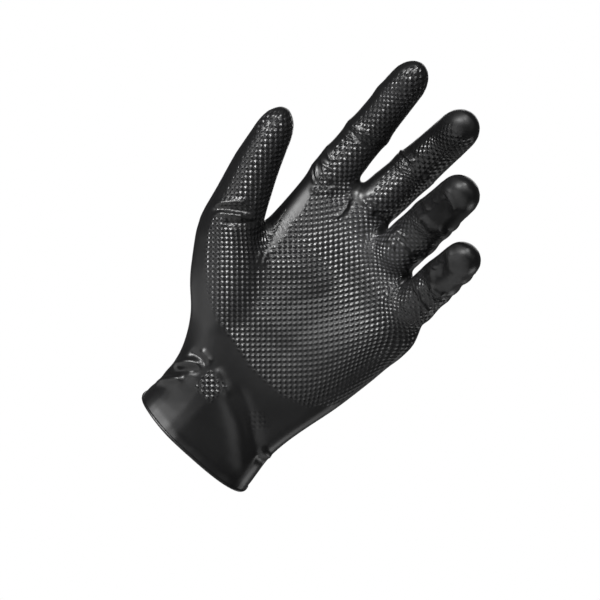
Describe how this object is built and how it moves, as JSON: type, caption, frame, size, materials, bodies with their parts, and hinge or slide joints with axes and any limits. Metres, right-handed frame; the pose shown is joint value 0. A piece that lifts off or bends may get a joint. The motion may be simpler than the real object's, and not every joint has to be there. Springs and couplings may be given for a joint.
{
  "type": "nitrile exam glove",
  "caption": "Stretchy textured examination glove shaped by a relaxed left hand, hollow, with a rolled rim open at the wrist.",
  "frame": {"origin": "middle of the wrist opening, at the rolled rim", "axes": "+Z from the wrist towards the fingertips, +X towards the little finger, -Y the way the palm faces"},
  "size_m": [0.1257, 0.106, 0.2136],
  "materials": {
    "nitrile": "black satin film with a raised dot grip"
  },
  "bodies": {
    "root": {"glove": "nitrile"}
  },
  "joints": []
}
